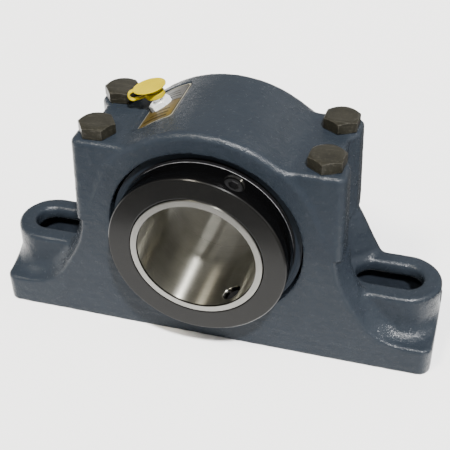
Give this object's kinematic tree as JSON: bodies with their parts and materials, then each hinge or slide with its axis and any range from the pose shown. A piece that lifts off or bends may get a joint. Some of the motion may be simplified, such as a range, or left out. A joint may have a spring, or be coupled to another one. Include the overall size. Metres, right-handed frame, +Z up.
{
  "type": "tapered roller pillow block",
  "caption": "Split cast pillow block with a domed bolted cap, slotted hollow feet, a self-aligning tapered roller insert, black locking collars and a capped grease fitting.",
  "frame": {"origin": "middle of the flat underside, below the bearing centre", "axes": "+X along the feet, +Y along the shaft axis away from the front collar face, +Z up"},
  "size_m": [0.2922, 0.1124, 0.1606],
  "materials": {
    "housing": "slate paint over cast iron, semi-gloss, fine cast grain",
    "bolt_oxide": "dark oxide, oiled",
    "hard_steel": "ground",
    "plate": "satin, gold colour field",
    "zinc": "bright zinc",
    "cap_yellow": "moulded, satin",
    "carrier_iron": "machined",
    "race_steel": "ground",
    "seal_rubber": "moulded",
    "ground_steel": "ground bore and faces",
    "collar_black": "black oxide, turned",
    "screw_black": "black oxide",
    "flinger_black": "black, gloss",
    "cage_steel": "pressed"
  },
  "bodies": {
    "housing": {"housing_base": "housing", "housing_cap": "housing", "cap_bolts": "bolt_oxide", "dowel_pins": "hard_steel", "anti_rotation_pin": "hard_steel", "nameplate": "plate", "grease_fitting": "zinc", "check_ball": "hard_steel", "check_spring": "hard_steel"},
    "insert": {"bearing_cartridge": "carrier_iron", "front_cup": "race_steel", "rear_cup": "race_steel", "cup_spacer": "race_steel", "front_retaining_ring": "race_steel", "rear_retaining_ring": "race_steel", "front_seal": "seal_rubber", "rear_seal": "seal_rubber"},
    "rotor": {"inner_ring": "ground_steel", "front_collar": "collar_black", "rear_collar": "collar_black", "front_set_screws": "screw_black", "rear_set_screws": "screw_black", "front_flinger": "flinger_black", "rear_flinger": "flinger_black"},
    "front_roller_set": {"front_cage": "cage_steel", "front_rollers": "hard_steel"},
    "rear_roller_set": {"rear_cage": "cage_steel", "rear_rollers": "hard_steel"},
    "grease_cap": {"fitting_cap": "cap_yellow"}
  },
  "joints": [
    {"name": "insert_tilt", "type": "hinge", "parent": "housing", "child": "insert", "pos_m": [0, 0, 0.08255], "axis": [1, 0, 0], "range_deg": [-2, 2]},
    {"name": "shaft_spin", "type": "hinge", "parent": "insert", "child": "rotor", "pos_m": [0, 0, 0.08255], "axis": [0, 1, 0], "continuous": true},
    {"name": "front_cage_spin", "type": "hinge", "parent": "insert", "child": "front_roller_set", "pos_m": [0, 0, 0.08255], "axis": [0, 1, 0], "continuous": true},
    {"name": "rear_cage_spin", "type": "hinge", "parent": "insert", "child": "rear_roller_set", "pos_m": [0, 0, 0.08255], "axis": [0, 1, 0], "continuous": true},
    {"name": "grease_cap_swivel", "type": "hinge", "parent": "housing", "child": "grease_cap", "pos_m": [-0.04432, 0.011, 0.14951], "axis": [-0.2419, 0, 0.9703], "continuous": true}
  ],
  "couplings": [
    {"joint": "front_cage_spin", "follows": "shaft_spin", "ratio": 0.44841},
    {"joint": "rear_cage_spin", "follows": "shaft_spin", "ratio": 0.44841}
  ]
}
